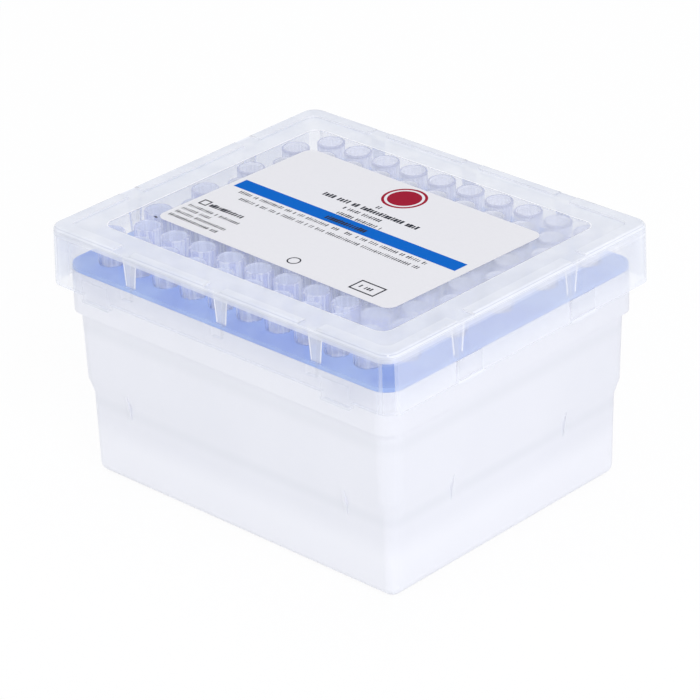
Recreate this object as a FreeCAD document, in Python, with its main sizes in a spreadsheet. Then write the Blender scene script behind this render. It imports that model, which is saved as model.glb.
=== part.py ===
import FreeCAD, Part
import math
import os
import re

import Sketcher
from FreeCAD import Placement, Rotation, Vector

# A box of filter pipette tips: a milky base, a lift-off lid, a coloured rack plate on the base's
# rim, and rows of tips that hang in the plate's holes, each with a filter plug in its mouth.
# The origin is the middle of the base's underside, +Z is up and +X runs along the long side.

document = FreeCAD.newDocument("pipetteTipBox")

# ---------------------------------------------------------------- driving dimensions

drivingSizes = (
    # lattice of holes
    ("tipPitch", 11.7, "from tip to tip along a row"),
    ("tipsPerRow", 10, "places in a row"),
    ("rowCount", 10, "rows, each half a pitch off the next"),
    ("emptyPlaces", 2, "places left out in each of the two middle rows"),
    # tip
    ("tipLength", 78.0, "whole tip"),
    ("collarLength", 10.2, "part of the tip that stands above the plate"),
    ("mouthDiameter", 7.3, "bore at the top of the tip"),
    ("collarWall", 0.8, "wall round the mouth"),
    ("collarTaper", 0.3, "how much less the collar measures across its shoulder"),
    ("shoulderLedge", 0.4, "how far the collar stands out from the body, to hang in the plate"),
    ("endBore", 0.7, "bore at the fine end"),
    ("endWall", 0.3, "wall at the fine end"),
    ("tipSides", 6, "flats round a tip, its plug and its hole, which keep the many tips light"),
    # filter plug
    ("plugDepth", 12.5, "from the tip's top down to the plug"),
    ("plugLength", 6.0, "plug's height"),
    ("plugClearance", 0.02, "between plug and bore at the plug's lower edge"),
    # rack plate
    ("rackThickness", 1.4, "plate"),
    ("rackEndMargin", 6.6, "plate beyond the last collar, at the short sides"),
    ("rackSideMargin", 5.5, "plate beyond the last collar, at the long sides"),
    ("holeClearance", 0.15, "between a hole and the tip's body, all round"),
    ("rackLipHeight", 1.6, "locating lip below the plate"),
    ("rackLipThickness", 1.0, "locating lip"),
    ("rackLipClearance", 0.3, "between the locating lip and the base's wall"),
    ("rackSetback", 0.2, "plate's edge inside the base's outer face"),
    # base
    ("baseWall", 1.5, "side walls"),
    ("floorThickness", 1.6, "floor"),
    ("tipFloorGap", 2.2, "between the tips' fine ends and the floor"),
    ("collarBandHeight", 14.0, "thicker band that the lid closes over"),
    ("collarBandStep", 1.5, "how far the band stands out from the wall below"),
    ("upperDraft", 0.7, "narrowing of the upper wall towards its foot"),
    ("shoulderTop", 32.8, "height where the sloping step begins"),
    ("shoulderBottom", 27.6, "height where the sloping step ends"),
    ("shoulderInset", 1.7, "how far the sloping step comes in"),
    ("lowerDraft", 0.6, "narrowing of the lower wall towards the floor"),
    ("bandRadius", 6.5, "plan corners of the band and the plate"),
    ("footRadius", 3.4, "plan corners at the floor"),
    ("footRounding", 3.0, "rounding of the lowest edge"),
    ("footCornerRest", 0.2, "least plan radius that the rounding leaves at a corner"),
    ("gussetWidth", 1.0, "small gussets under the sloping step"),
    ("gussetDrop", 4.5, "how far a gusset reaches below the sloping step"),
    ("sideGussetSpacing", 90.0, "between the gussets of a long side"),
    ("endGussetSpacing", 51.0, "between the gussets of a short side"),
    # lid
    ("lidWall", 1.6, "skirt"),
    ("lidSideGap", 1.8, "between the skirt's lower edge and the base's band"),
    ("lidDraft", 0.5, "narrowing of the skirt, on each side, towards the top"),
    ("lidOverlap", 6.0, "how far the skirt reaches below the plate's top"),
    ("lidHeadroom", 0.8, "between the tips' tops and the lid"),
    ("panelThickness", 1.0, "clear panel in the middle of the lid"),
    ("panelRecess", 0.3, "panel below the border round it"),
    ("panelEndMargin", 12.2, "from the lid's end to the panel"),
    ("panelSideMargin", 11.6, "from the lid's side to the panel"),
    ("panelRadius", 4.0, "plan corners of the panel"),
    ("lipHeight", 0.6, "stacking lip along the lid's top edge"),
    ("lipWidth", 4.8, "stacking lip"),
    ("lipWaist", 3.3, "stacking lip between the outer ribs of a long side"),
    ("lidRadius", 5.5, "plan corners of the skirt's lower edge"),
    ("lidRounding", 1.4, "rounding of the lid's top edge"),
    ("spaceRounding", 1.1, "rounding inside, between the skirt and the border"),
    ("lidSeatGap", 0.05, "between the lid's ribs and the plate they rest on"),
    ("ribTopWidth", 6.4, "rib inside the skirt, at the top"),
    ("ribFootWidth", 4.0, "rib inside the skirt, at its foot"),
    ("ribSeat", 0.6, "how far a rib reaches in over the plate it rests on"),
    ("ribGuideDrop", 3.4, "how far a rib's outer part reaches below the plate's top"),
    ("ribGuideGap", 0.3, "between a rib's outer part and the base's band"),
    ("sideRibSpacing", 38.0, "between the ribs of a long side"),
    ("endRibSpacing", 50.6, "between the ribs of a short side"),
    ("notchWidth", 7.0, "gap in the stacking lip above each rib"),
    ("tabWidth", 11.2, "finger tab on the skirt's lower edge"),
    ("tabHeight", 7.2, "finger tab"),
    ("tabStandOut", 0.2, "how far a tab stands out from the skirt"),
    ("beadHeight", 0.9, "bead along a tab's lower edge"),
    ("beadStandOut", 0.5, "how far the bead stands out from its tab"),
    ("sideTabDrop", 2.1, "how far a long side's tabs reach below the skirt"),
    ("sideTabSpacing", 98.6, "between the tabs of a long side"),
    # label
    ("labelLength", 98.0, "sticker on the panel"),
    ("labelWidth", 66.9, "sticker on the panel"),
    ("labelThickness", 0.12, "sticker on the panel"),
    ("labelRadius", 3.5, "sticker's corners"),
    ("labelTurn", 1.4, "degrees that the sticker lies askew, clockwise from above"),
)

sheet = document.addObject("Spreadsheet::Sheet", "Sizes")
for line, (alias, value, note) in enumerate(drivingSizes, start=1):
    sheet.set(f"A{line}", note)
    sheet.set(f"B{line}", str(value))
    sheet.setAlias(f"B{line}", alias)
document.recompute()

aliasPattern = re.compile(r"(?<![.\w])(" + "|".join(alias for alias, _, _ in drivingSizes) + r")\b")


def formula(text):
    return "(" + aliasPattern.sub(r"Sizes.\1", text) + ")"


def valueOf(expression):
    result = sheet.evalExpression(expression.replace("Sizes.", ""))
    return float(getattr(result, "Value", result))


# ---------------------------------------------------------------- sizes that follow

ground = "0"
collarDiameter = formula("mouthDiameter + 2 * collarWall")
shoulderDiameter = formula(f"{collarDiameter} - collarTaper - 2 * shoulderLedge")
endDiameter = formula("endBore + 2 * endWall")

rowSpacing = formula("tipPitch * sqrt(3) / 2")
deckTop = formula("floorThickness + tipFloorGap + tipLength - collarLength")
rimTop = formula(f"{deckTop} - rackThickness")
tipTop = formula(f"{deckTop} + collarLength")

rackLength = formula(f"(tipsPerRow - 0.5) * tipPitch + {collarDiameter} + 2 * rackEndMargin")
rackWidth = formula(f"(rowCount - 1) * {rowSpacing} + {collarDiameter} + 2 * rackSideMargin")
rackSize = (rackLength, rackWidth)


def grown(size, margin):
    return tuple(formula(f"{side} + 2 * {margin}") for side in size)


bandSize = grown(rackSize, formula("rackSetback"))
bandBottom = formula(f"{rimTop} - collarBandHeight")
upperTopSize = grown(bandSize, formula("-collarBandStep"))
upperFootSize = grown(upperTopSize, formula("-upperDraft"))
lowerTopSize = grown(upperFootSize, formula("-shoulderInset"))
lowerFootSize = grown(lowerTopSize, formula("-lowerDraft"))
lowerTopRadius = formula("footRadius + lowerDraft")
upperFootRadius = formula(f"{lowerTopRadius} + shoulderInset")

skirtBottom = formula(f"{deckTop} - lidOverlap")
plateUnderside = formula(f"{tipTop} + lidHeadroom")
panelTop = formula(f"{plateUnderside} + panelThickness")
borderTop = formula(f"{panelTop} + panelRecess")
lidTop = formula(f"{borderTop} + lipHeight")
skirtInside = grown(bandSize, formula("lidSideGap"))
skirtOutside = grown(skirtInside, formula("lidWall"))
lidTopSize = grown(skirtOutside, formula("-lidDraft"))
ribFoot = formula(f"{deckTop} + lidSeatGap")
ribDepth = formula("rackSetback + lidSideGap + ribSeat")
guideDepth = formula("lidSideGap - ribGuideGap")
footRoundingRadius = formula("min(footRounding; footRadius - footCornerRest)")


# ---------------------------------------------------------------- modelling helpers

levelTolerance = 1e-4
sewingTolerance = 1e-6


def newBody(name):
    body = document.addObject("PartDesign::Body", name)
    body.Label = name
    return body


def originPlane(body, role):
    return next(feature for feature in body.Origin.OriginFeatures if feature.Role == role)


def newSketch(body, name, role, offset):
    sketch = body.newObject("Sketcher::SketchObject", name)
    sketch.AttachmentSupport = [(originPlane(body, role), "")]
    sketch.MapMode = "FlatFace"
    sketch.setExpression("AttachmentOffset.Base.z", offset)
    return sketch


def bind(sketch, constraint, expression):
    index = sketch.addConstraint(constraint)
    sketch.setExpression(f"Constraints[{index}]", expression)


def addRoundedRectangle(sketch, size, radius):
    halfLength, halfWidth = (valueOf(side) / 2 for side in size)
    corner = valueOf(radius)
    insideX, insideY = halfLength - corner, halfWidth - corner
    sides = (
        (Vector(-insideX, -halfWidth), Vector(insideX, -halfWidth)),
        (Vector(halfLength, -insideY), Vector(halfLength, insideY)),
        (Vector(insideX, halfWidth), Vector(-insideX, halfWidth)),
        (Vector(-halfLength, insideY), Vector(-halfLength, -insideY)),
    )
    centres = (
        Vector(insideX, -insideY), Vector(insideX, insideY),
        Vector(-insideX, insideY), Vector(-insideX, -insideY),
    )
    lines = [sketch.addGeometry(Part.LineSegment(*ends)) for ends in sides]
    arcs = []
    for quarter, centre in enumerate(centres):
        circle = Part.Circle(centre, Vector(0, 0, 1), corner)
        start = (quarter - 1) * math.pi / 2
        arcs.append(sketch.addGeometry(Part.ArcOfCircle(circle, start, start + math.pi / 2)))
    for quarter in range(4):
        following = lines[(quarter + 1) % 4]
        sketch.addConstraint(Sketcher.Constraint("Tangent", lines[quarter], 2, arcs[quarter], 1))
        sketch.addConstraint(Sketcher.Constraint("Tangent", arcs[quarter], 2, following, 1))
    for index in (0, 2):
        sketch.addConstraint(Sketcher.Constraint("Horizontal", lines[index]))
        sketch.addConstraint(Sketcher.Constraint("Vertical", lines[index + 1]))
    for arc in arcs[1:]:
        sketch.addConstraint(Sketcher.Constraint("Equal", arcs[0], arc))
    sketch.addConstraint(Sketcher.Constraint("Symmetric", arcs[0], 3, arcs[2], 3, -1, 1))
    bind(sketch, Sketcher.Constraint("Radius", arcs[0], corner), radius)
    across = Sketcher.Constraint("DistanceX", lines[3], 1, lines[1], 1, 2 * halfLength)
    bind(sketch, across, size[0])
    along = Sketcher.Constraint("DistanceY", lines[0], 1, lines[2], 1, 2 * halfWidth)
    bind(sketch, along, size[1])


def addPolygon(sketch, corners):
    points = [Vector(valueOf(x), valueOf(y)) for x, y in corners]
    lines = []
    for index, point in enumerate(points):
        following = points[(index + 1) % len(points)]
        lines.append(sketch.addGeometry(Part.LineSegment(point, following)))
    for index, line in enumerate(lines):
        following = lines[(index + 1) % len(lines)]
        sketch.addConstraint(Sketcher.Constraint("Coincident", line, 2, following, 1))
    for line, point, (x, y) in zip(lines, points, corners):
        bind(sketch, Sketcher.Constraint("DistanceX", -1, 1, line, 1, point.x), x)
        bind(sketch, Sketcher.Constraint("DistanceY", -1, 1, line, 1, point.y), y)


def extrude(body, kind, name, sketch, length, taper=None, backwards=False):
    feature = body.newObject(f"PartDesign::{kind}", name)
    feature.Profile = sketch
    feature.setExpression("Length", length)
    if taper is not None:
        feature.setExpression("TaperAngle", taper)
    feature.Reversed = backwards
    sketch.Visibility = False
    return feature


def mirrored(body, name, feature, role):
    copy = body.newObject("PartDesign::Mirrored", name)
    copy.Originals = [feature]
    copy.MirrorPlane = (originPlane(body, role), [""])
    body.Tip = copy
    return copy


def edgesAtHeight(shape, height):
    names = []
    for index, edge in enumerate(shape.Edges, start=1):
        box = edge.BoundBox
        if abs(box.ZMin - height) < levelTolerance and abs(box.ZMax - height) < levelTolerance:
            names.append(f"Edge{index}")
    return names


def roundEdges(body, name, feature, height, radius):
    document.recompute()
    fillet = body.newObject("PartDesign::Fillet", name)
    fillet.Base = (feature, edgesAtHeight(feature.Shape, valueOf(height)))
    fillet.setExpression("Radius", radius)
    return fillet


# A tier is a stretch of wall with rounded plan corners: (name, foot height, top height, size at
# the foot, corner radius at the foot, how far each side leans out from foot to top).


def addTiers(body, kind, tiers):
    for name, foot, top, size, radius, lean in tiers:
        rise = formula(f"{top} - {foot}")
        sketch = newSketch(body, f"{name}Outline", "XY_Plane", foot)
        addRoundedRectangle(sketch, size, radius)
        taper = None if lean is None else formula(f"atan({lean} / {rise})")
        feature = extrude(body, kind, name, sketch, rise, taper, backwards=kind == "Pocket")
    return feature


def addUprights(body, kind, name, role, offset, length, outlines):
    sketch = newSketch(body, f"{name}Outline", role, offset)
    for corners in outlines:
        addPolygon(sketch, corners)
    feature = extrude(body, kind, name, sketch, length)
    return mirrored(body, f"{name}OtherSide", feature, role)


def uprightOutline(middle, footWidth, topWidth, foot, top):
    return (
        (formula(f"{middle} - {footWidth} / 2"), foot),
        (formula(f"{middle} + {footWidth} / 2"), foot),
        (formula(f"{middle} + {topWidth} / 2"), top),
        (formula(f"{middle} - {topWidth} / 2"), top),
    )


# ---------------------------------------------------------------- base


def gussetOutline(side, topSize, footSize):
    """Fills the corner under the sloping step: side is 1 or -1."""
    upper, lower = formula(f"{side} * {topSize} / 2"), formula(f"{side} * {footSize} / 2")
    intoWall = formula(f"{side} * baseWall / 2")
    return (
        (lower, formula("shoulderBottom - gussetDrop")),
        (upper, formula("shoulderTop")),
        (formula(f"{upper} - {intoWall}"), formula("shoulderTop")),
        (formula(f"{lower} - {intoWall}"), formula("shoulderBottom")),
        (formula(f"{lower} - {intoWall}"), formula("shoulderBottom - gussetDrop")),
    )


def makeBase():
    body = newBody("base_box")
    shoulderBottom, shoulderTop = formula("shoulderBottom"), formula("shoulderTop")
    spaceTop = formula(f"{bandBottom} + baseWall")
    inset = formula("-baseWall")
    lowerWall = (
        ("lowerWall", ground, shoulderBottom, lowerFootSize, formula("footRadius"),
         formula("lowerDraft")),
    )
    upperWalls = (
        ("slopingStep", shoulderBottom, shoulderTop, lowerTopSize, lowerTopRadius,
         formula("shoulderInset")),
        ("upperWall", shoulderTop, bandBottom, upperFootSize, upperFootRadius,
         formula("upperDraft")),
        ("band", bandBottom, rimTop, bandSize, formula("bandRadius"), None),
    )
    spaces = (
        ("lowerSpace", formula("floorThickness"), shoulderBottom, grown(lowerFootSize, inset),
         formula("footRadius - baseWall"), formula("lowerDraft")),
        ("stepSpace", shoulderBottom, shoulderTop, grown(lowerTopSize, inset),
         formula(f"{lowerTopRadius} - baseWall"), formula("shoulderInset")),
        ("upperSpace", shoulderTop, spaceTop, grown(upperFootSize, inset),
         formula(f"{upperFootRadius} - baseWall"), formula("upperDraft")),
        ("bandSpace", spaceTop, rimTop, grown(bandSize, inset),
         formula("bandRadius - baseWall"), None),
    )
    foot = addTiers(body, "Pad", lowerWall)
    roundEdges(body, "footRounding", foot, ground, footRoundingRadius)
    addTiers(body, "Pad", upperWalls)
    addTiers(body, "Pocket", spaces)
    for name, role, across, spacing in (
        ("sideGussets", "YZ_Plane", 1, "sideGussetSpacing"),
        ("endGussets", "XZ_Plane", 0, "endGussetSpacing"),
    ):
        outlines = [gussetOutline(side, upperFootSize[across], lowerTopSize[across])
                    for side in (-1, 1)]
        addUprights(body, "Pad", name, role, formula(f"({spacing} - gussetWidth) / 2"),
                    formula("gussetWidth"), outlines)
    return body


# ---------------------------------------------------------------- rack plate and its places


def latticePlaces():
    """Centre of every tip, row by row from the back."""
    pitch, spacing = valueOf("Sizes.tipPitch"), valueOf(rowSpacing)
    perRow, rows = int(valueOf("Sizes.tipsPerRow")), int(valueOf("Sizes.rowCount"))
    empty = valueOf("Sizes.emptyPlaces")
    for row in range(rows):
        shift = pitch / 4 if row % 2 == 0 else -pitch / 4
        middleRow = abs(row - (rows - 1) / 2) < 1
        places = []
        for place in range(perRow):
            fromMiddle = place - (perRow - 1) / 2
            if middleRow and abs(fromMiddle) < empty / 2:
                continue
            places.append(Vector(fromMiddle * pitch + shift, ((rows - 1) / 2 - row) * spacing, 0))
        yield places


def newPrism(name, radius, foot, height):
    prism = document.addObject("Part::Prism", name)
    prism.setExpression("Polygon", formula("tipSides"))
    prism.setExpression("Circumradius", radius)
    prism.setExpression("Height", height)
    prism.setExpression("Placement.Base.z", foot)
    document.recompute()
    return prism


def copiesAt(shape, places):
    copies = []
    for place in places:
        copy = shape.copy()
        copy.translate(place)
        copies.append(copy)
    return Part.makeCompound(copies)


def makeRack():
    plate = newBody("rack_plate")
    underside = formula(f"{deckTop} - rackThickness")
    lipFoot = formula(f"{underside} - rackLipHeight")
    lipSize = grown(bandSize, formula("-baseWall - rackLipClearance"))
    lipRadius = formula("bandRadius - baseWall - rackLipClearance")
    sheetTier = (("plate", underside, deckTop, rackSize, formula("bandRadius"), None),)
    lipTier = (("lip", lipFoot, underside, lipSize, lipRadius, None),)
    hollowTier = (
        ("lipHollow", lipFoot, underside, grown(lipSize, formula("-rackLipThickness")),
         formula(f"{lipRadius} - rackLipThickness"), None),
    )
    addTiers(plate, "Pad", sheetTier)
    addTiers(plate, "Pad", lipTier)
    addTiers(plate, "Pocket", hollowTier)

    hole = newPrism("hole", formula(f"{shoulderDiameter} / 2 + holeClearance"), lipFoot,
                    formula(f"{deckTop} - {lipFoot} + rackThickness"))
    holes = document.addObject("Part::Feature", "holes")
    holes.Shape = copiesAt(hole.Shape, [place for row in latticePlaces() for place in row])

    rack = document.addObject("Part::Cut", "tip_rack")
    rack.Label = "tip_rack"
    rack.Base = plate
    rack.Tool = holes
    return rack


# ---------------------------------------------------------------- tips and filter plugs


def ringOutline(radius, height, sides):
    corners = [
        Vector(radius * math.cos(2 * math.pi * step / sides),
               radius * math.sin(2 * math.pi * step / sides), height)
        for step in range(sides)
    ]
    return Part.makePolygon(corners + corners[:1])


def flatSidedTube(section, sides):
    """The ring whose wall has this section, a closed run of (radius, height), in flat faces."""
    rings = [ringOutline(radius, height, sides) for radius, height in section]
    faces = []
    for index, (radius, height) in enumerate(section):
        following = (index + 1) % len(section)
        if section[following][1] == height:
            wires = sorted((rings[index], rings[following]), key=lambda wire: wire.Length)
            faces.append(Part.Face([wires[1], wires[0]]))
            continue
        near, far = rings[index].Vertexes, rings[following].Vertexes
        for step in range(sides):
            turned = (step + 1) % sides
            corners = [near[step], near[turned], far[turned], far[step], near[step]]
            faces.append(Part.Face(Part.makePolygon([corner.Point for corner in corners])))
    shell = Part.Shell(faces)
    shell.fix(sewingTolerance, sewingTolerance, sewingTolerance)
    solid = Part.Solid(shell)
    return solid if solid.Volume > 0 else solid.reversed()


def boreRadiusAt(depth):
    slope = f"(mouthDiameter - endBore) / 2 * {depth} / tipLength"
    return formula(f"mouthDiameter / 2 - {slope}")


def makeTips():
    tip = document.addObject("Part::Feature", "pipette_tip")
    section = (
        ("endBore / 2", f"{tipTop} - tipLength"),
        (f"{endDiameter} / 2", f"{tipTop} - tipLength"),
        (f"{shoulderDiameter} / 2", deckTop),
        (f"({collarDiameter} - collarTaper) / 2", deckTop),
        (f"{collarDiameter} / 2", tipTop),
        ("mouthDiameter / 2", tipTop),
    )
    tip.Shape = flatSidedTube(
        [(valueOf(formula(radius)), valueOf(formula(height))) for radius, height in section],
        int(valueOf("Sizes.tipSides")),
    )
    plugFoot = formula("plugDepth + plugLength")
    plug = newPrism("filter_plug", formula(f"{boreRadiusAt(plugFoot)} - plugClearance"),
                    formula(f"{tipTop} - {plugFoot}"), formula("plugLength"))
    rows = []
    for number, places in enumerate(latticePlaces(), start=1):
        for name, single in (("tips_row", tip), ("filters_row", plug)):
            row = document.addObject("Part::Feature", f"{name}_{number:02d}")
            row.Label = f"{name}_{number:02d}"
            row.Shape = copiesAt(single.Shape, places)
            rows.append(row)
    return rows


# ---------------------------------------------------------------- lid


def makeLid():
    body = newBody("lid")
    lean = formula("-lidDraft")
    outer = (("skirt", skirtBottom, lidTop, skirtOutside, formula("lidRadius"), lean),)
    block = addTiers(body, "Pad", outer)
    roundEdges(body, "topRounding", block, lidTop, formula("lidRounding"))
    inside = (
        ("lidSpace", skirtBottom, plateUnderside, skirtInside,
         formula("lidRadius - lidWall"), lean),
    )
    space = addTiers(body, "Pocket", inside)
    roundEdges(body, "spaceRounding", space, plateUnderside, formula("spaceRounding"))
    borderSize = grown(lidTopSize, formula("-lipWidth"))
    panelSize = (
        formula(f"{lidTopSize[0]} - 2 * panelEndMargin"),
        formula(f"{lidTopSize[1]} - 2 * panelSideMargin"),
    )
    recesses = (
        ("border", borderTop, lidTop, borderSize, formula("lidRadius - lipWidth / 2"), None),
        ("panel", panelTop, borderTop, panelSize, formula("panelRadius"), None),
    )
    addTiers(body, "Pocket", recesses)

    sideMiddles = [formula(f"{step} * sideRibSpacing") for step in (-1, 0, 1)]
    endMiddles = [formula(f"{step} * endRibSpacing / 2") for step in (-1, 1)]
    intoPanel = formula(f"{plateUnderside} + panelThickness / 2")
    aboveLid = formula(f"{lidTop} + lipHeight")
    guideFoot = formula(f"{deckTop} - ribGuideDrop")
    for role, size, side, middles in (
        ("XZ_Plane", 1, "side", sideMiddles),
        ("YZ_Plane", 0, "end", endMiddles),
    ):
        for part, foot, top, topWidth, depth in (
            ("Ribs", ribFoot, intoPanel, "ribTopWidth", ribDepth),
            ("Guides", guideFoot, ribFoot, "ribFootWidth", guideDepth),
        ):
            outlines = [uprightOutline(middle, "ribFootWidth", topWidth, foot, top)
                        for middle in middles]
            addUprights(body, "Pad", f"{side}{part}", role,
                        formula(f"{skirtInside[size]} / 2 - {depth}"),
                        formula(f"{depth} + lidWall / 2"), outlines)
        notches = [uprightOutline(middle, "notchWidth", "notchWidth", borderTop, aboveLid)
                   for middle in middles]
        addUprights(body, "Pocket", f"{side}Notches", role,
                    formula(f"{skirtOutside[size]} / 2"), formula("lidDraft + 2 * lipWidth"),
                    notches)
    waist = uprightOutline(ground, "2 * sideRibSpacing", "2 * sideRibSpacing", borderTop, aboveLid)
    addUprights(body, "Pocket", "lipWaist", "XZ_Plane",
                formula(f"{lidTopSize[1]} / 2 - lipWaist"), formula("lipWidth"), [waist])

    tabMiddles = [formula(f"{step} * sideTabSpacing / 2") for step in (-1, 1)]
    for role, size, side, middles, drop in (
        ("XZ_Plane", 1, "side", tabMiddles, formula("sideTabDrop")),
        ("YZ_Plane", 0, "end", endMiddles, ground),
    ):
        halfInside = formula(f"{skirtInside[size]} / 2")
        foot = formula(f"{skirtBottom} - {drop}")
        for part, height, standOut in (
            ("", formula("tabHeight"), formula("tabStandOut")),
            ("Beads", formula("beadHeight"), formula("tabStandOut + beadStandOut")),
        ):
            outlines = [
                uprightOutline(middle, "tabWidth", "tabWidth", foot, formula(f"{foot} + {height}"))
                for middle in middles
            ]
            addUprights(body, "Pad", f"{side}Tabs{part}", role, halfInside,
                        formula(f"lidWall + {standOut}"), outlines)
    return body


def makeLabel():
    body = newBody("lid_label")
    labelSize = (formula("labelLength"), formula("labelWidth"))
    top = formula(f"{panelTop} + labelThickness")
    addTiers(body, "Pad", (
        ("sticker", panelTop, top, labelSize, formula("labelRadius"), None),
    ))
    askew = Rotation(Vector(0, 0, -1), valueOf("Sizes.labelTurn"))
    body.Placement = Placement(Vector(0, 0, 0), askew)
    body.setExpression("Placement.Rotation.Angle", formula("labelTurn"))
    return body


# ---------------------------------------------------------------- build, check and write


def checkAndWrite(parts):
    document.recompute()
    for item in document.Objects:
        if "Invalid" in item.State or "Error" in item.State:
            raise RuntimeError(f"{item.Name} failed: {item.State}")
    os.makedirs("parts", exist_ok=True)
    for part in parts:
        if part.Shape.isNull() or not part.Shape.isValid() or not part.Shape.Solids:
            raise RuntimeError(f"{part.Label} has no sound shape")
        part.Shape.exportStep(f"parts/{part.Label}.step")
        box = part.Shape.BoundBox
        print(
            f"{part.Label}: {len(part.Shape.Solids)} solid(s), "
            f"{part.Shape.Volume / 1000:.2f} cm3, top {box.ZMax:.2f}, foot {box.ZMin:.2f}, "
            f"{box.XLength:.2f} x {box.YLength:.2f}"
        )


checkAndWrite([makeBase(), makeRack(), *makeTips(), makeLid(), makeLabel()])
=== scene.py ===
import math

import bmesh
import bpy
from mathutils import Matrix, Vector


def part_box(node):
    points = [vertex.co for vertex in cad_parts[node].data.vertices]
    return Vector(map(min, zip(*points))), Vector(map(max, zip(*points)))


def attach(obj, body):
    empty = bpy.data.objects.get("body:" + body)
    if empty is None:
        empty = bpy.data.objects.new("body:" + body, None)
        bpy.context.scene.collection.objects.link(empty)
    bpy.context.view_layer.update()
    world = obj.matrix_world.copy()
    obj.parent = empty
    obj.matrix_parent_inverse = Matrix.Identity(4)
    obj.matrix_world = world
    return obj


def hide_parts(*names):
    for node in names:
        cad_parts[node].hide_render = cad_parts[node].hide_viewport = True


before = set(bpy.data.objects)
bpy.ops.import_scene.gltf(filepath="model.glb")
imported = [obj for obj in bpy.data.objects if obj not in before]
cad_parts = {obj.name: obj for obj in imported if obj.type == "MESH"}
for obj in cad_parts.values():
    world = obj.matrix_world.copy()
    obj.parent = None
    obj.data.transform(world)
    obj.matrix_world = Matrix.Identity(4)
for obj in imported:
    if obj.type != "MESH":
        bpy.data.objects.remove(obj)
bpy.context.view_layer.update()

mm = 0.001
plasticIor = 1.49  # polypropylene bends light this much
scene = bpy.context.scene
scene.view_settings.view_transform = "Standard"


# a node's socket, wrapped so that a sum on it adds its Math nodes
class Value:
    def __init__(self, nodes, socket):
        self.nodes = nodes
        self.socket = socket

    def reckon(self, operation, first, second=0):
        node = self.nodes.node("ShaderNodeMath", {"operation": operation}, {0: first, 1: second})
        return Value(self.nodes, node.outputs[0])

    def __add__(self, other):
        return self.reckon("ADD", self, other)

    def __radd__(self, other):
        return self.reckon("ADD", other, self)

    def __sub__(self, other):
        return self.reckon("SUBTRACT", self, other)

    def __rsub__(self, other):
        return self.reckon("SUBTRACT", other, self)

    def __mul__(self, other):
        return self.reckon("MULTIPLY", self, other)

    def __rmul__(self, other):
        return self.reckon("MULTIPLY", other, self)

    def __truediv__(self, other):
        return self.reckon("DIVIDE", self, other)

    def __abs__(self):
        return self.reckon("ABSOLUTE", self)

    def most(self, other):
        return self.reckon("MAXIMUM", self, other)

    def above(self, edge, softness):  # 0 well below the edge, 1 well above it
        stops = {"Value": self, "From Min": edge - softness, "From Max": edge + softness}
        node = self.nodes.node("ShaderNodeMapRange", {"interpolation_type": "SMOOTHSTEP"}, stops)
        return Value(self.nodes, node.outputs[0])

    def near(self, place, reach):  # 1 at the place, 0 beyond its reach
        return 1 - abs(self - place).above(reach / 2, reach / 2)


# any node of a tree, made from its type, its settings and what its sockets get
class Nodes:
    def __init__(self, tree):
        self.tree = tree

    def node(self, kind, settings, inputs):
        node = self.tree.nodes.new(kind)
        for name, value in settings.items():
            setattr(node, name, value)
        for name, value in inputs.items():
            value = value.socket if isinstance(value, Value) else value
            if isinstance(value, bpy.types.NodeSocket):
                self.tree.links.new(value, node.inputs[name])
            else:
                node.inputs[name].default_value = value
        return node

    def rays(self, kind):
        return Value(self, self.node("ShaderNodeLightPath", {}, {}).outputs[f"Is {kind} Ray"])


# a material and the patterns it is built from
class Finish(Nodes):
    def __init__(self, name):
        self.material = bpy.data.materials.new(name)
        self.material.use_nodes = True
        super().__init__(self.material.node_tree)
        self.tree.nodes.clear()

    def objectPoint(self):
        return self.node("ShaderNodeTexCoord", {}, {}).outputs["Object"]

    def axes(self):
        parts = self.node("ShaderNodeSeparateXYZ", {}, {0: self.objectPoint()}).outputs
        return [Value(self, parts[axis]) for axis in range(3)]

    def attribute(self, name):
        node = self.node("ShaderNodeAttribute", {"attribute_name": name}, {})
        return Value(self, node.outputs["Fac"])

    # the settings of a pattern are these three in a row
    def noise(self, scale, detail, stretch=(1, 1, 1)):
        point = self.node("ShaderNodeMapping", {},
                          {"Vector": self.objectPoint(), "Scale": stretch})
        inputs = {"Vector": point.outputs[0], "Scale": scale, "Detail": detail}
        return Value(self, self.node("ShaderNodeTexNoise", {}, inputs).outputs["Fac"])

    def blend(self, factor, first, second):
        node = self.node("ShaderNodeMix", {"data_type": "RGBA"}, {0: factor, 6: first, 7: second})
        return node.outputs[2]

    def bump(self, height, strength, distance):
        inputs = {"Height": height, "Strength": strength, "Distance": distance}
        return self.node("ShaderNodeBump", {}, inputs).outputs[0]

    def clear(self, haze, shadowShare=0.25):  # clear plastic casts only this share of its shadow
        return haze * (1 - (1 - shadowShare) * self.rays("Shadow"))

    def surface(self, inputs, kind="ShaderNodeBsdfPrincipled"):
        shader = self.node(kind, {}, inputs)
        self.node("ShaderNodeOutputMaterial", {}, {"Surface": shader.outputs[0]})
        return self.material


cameraView = {
    "azimuth": 43.655, "elevation": 26.86, "roll": -1.819,
    "distance": 1.12374, "lens": 189.5, "sensor": 36.0, "clip": (0.01, 50.0),
    "target": (0, 0, 0.046), "across": -0.486 * mm, "upward": -3.823 * mm,
}


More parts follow.
